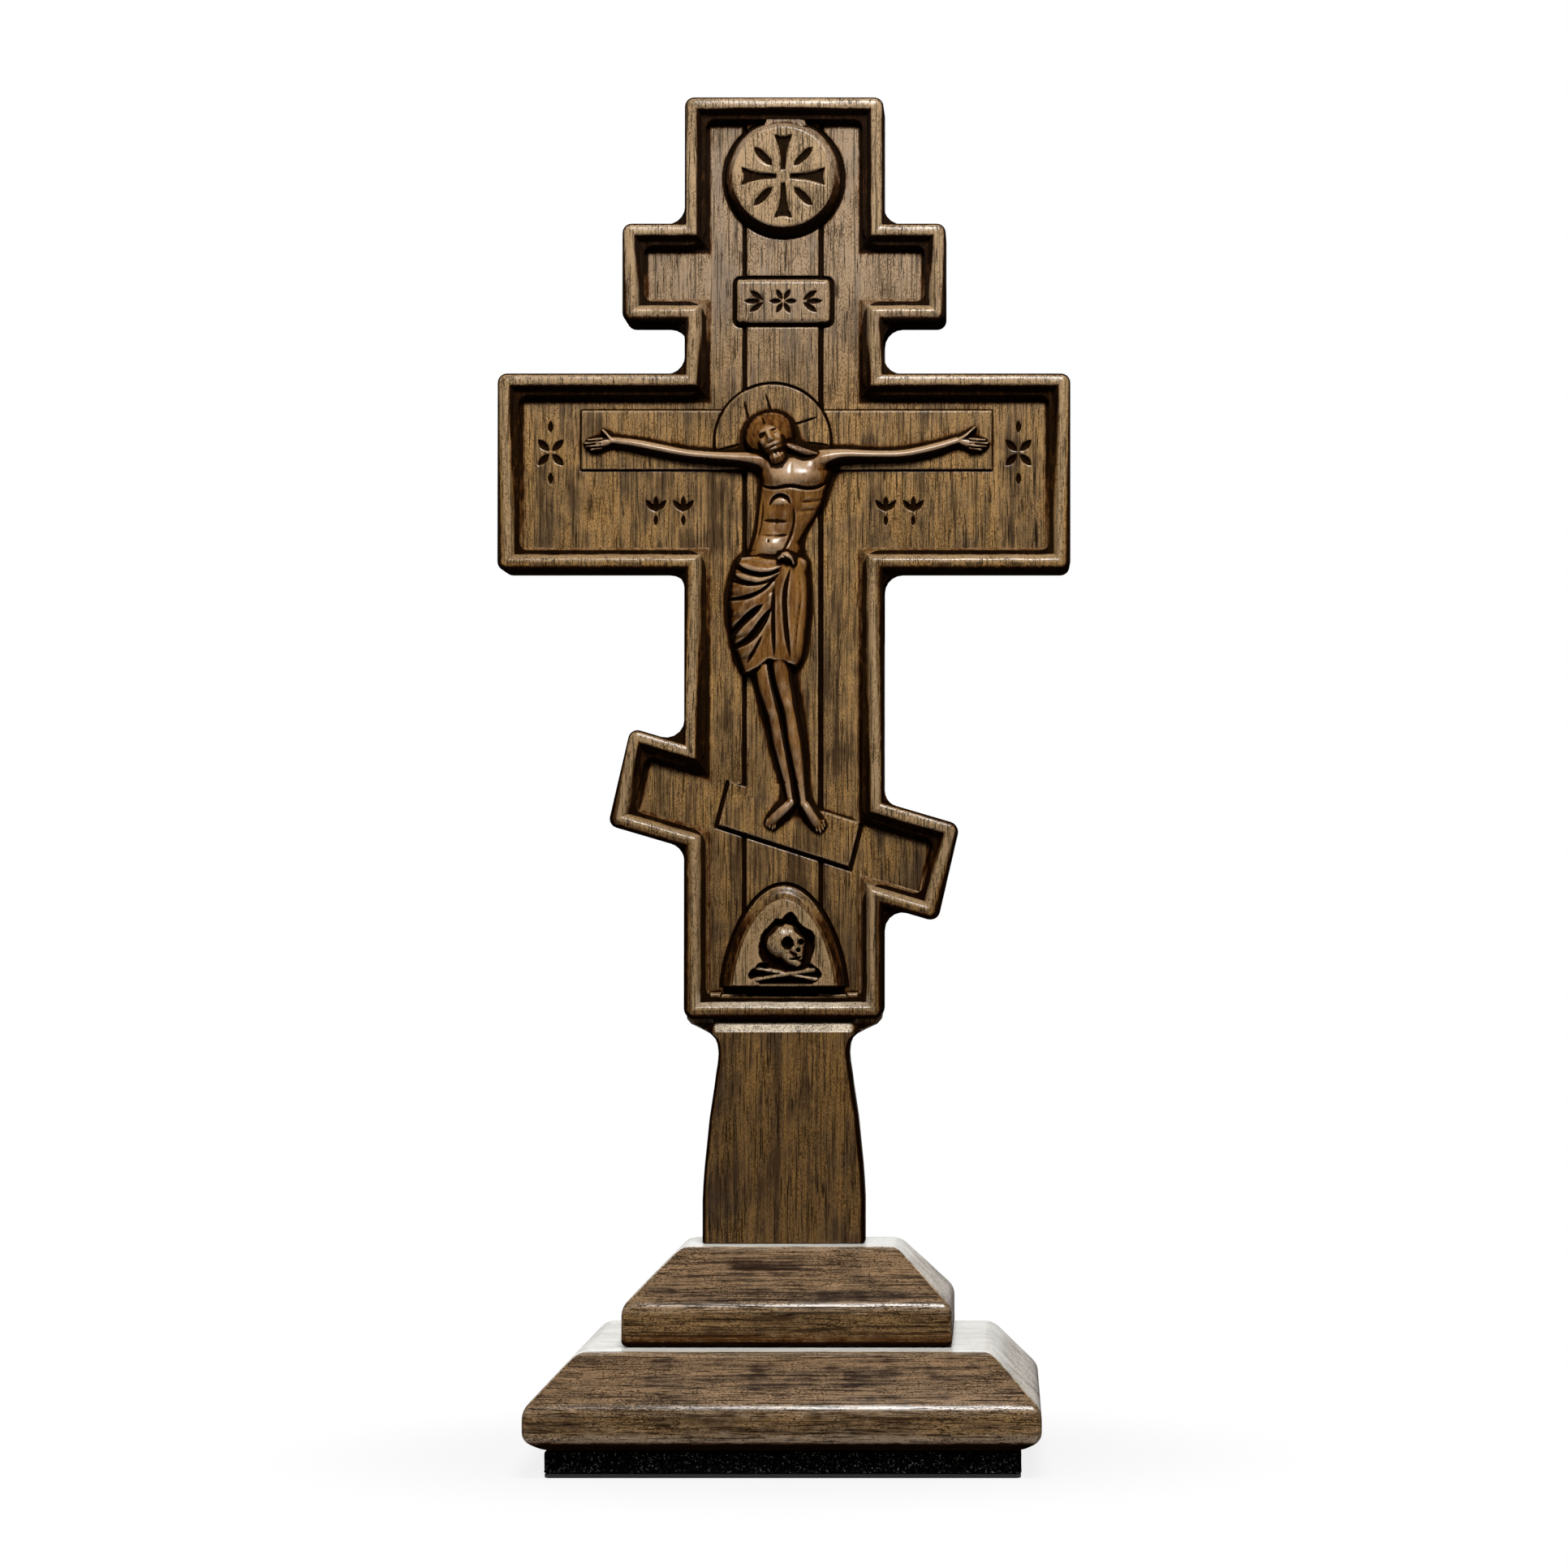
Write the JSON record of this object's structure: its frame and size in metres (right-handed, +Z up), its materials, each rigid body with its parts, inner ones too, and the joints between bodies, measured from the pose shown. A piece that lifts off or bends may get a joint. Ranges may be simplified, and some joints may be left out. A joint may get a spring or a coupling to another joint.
{
  "type": "standing cross",
  "caption": "Standing eastern cross with three bars, carved in relief inside a raised frame from one board, on a stepped bevelled plinth with a black base board.",
  "frame": {"origin": "middle of the underside, on the surface that the cross stands on", "axes": "+Z up along the upright, -Y towards the viewer of the carved front, +X to that viewer's right along the bars"},
  "size_m": [0.1416, 0.101, 0.3357],
  "materials": {
    "cross_wood": "dark stained open-pored hardwood under satin varnish, rims rubbed lighter",
    "plinth_wood": "dark stained open-pored hardwood under satin varnish",
    "base_black": "matt black stain",
    "felt": "matt",
    "screw_steel": "plain zinc"
  },
  "bodies": {
    "root": {"carved_cross": "cross_wood", "upper_plinth": "plinth_wood", "lower_plinth": "plinth_wood", "base_board": "base_black", "felt_pad": "felt", "stem_screw_1": "screw_steel", "stem_screw_2": "screw_steel", "slab_screw_1": "screw_steel", "slab_screw_2": "screw_steel", "slab_screw_3": "screw_steel", "slab_screw_4": "screw_steel", "base_screw_1": "screw_steel", "base_screw_2": "screw_steel", "base_screw_3": "screw_steel", "base_screw_4": "screw_steel"}
  },
  "joints": []
}
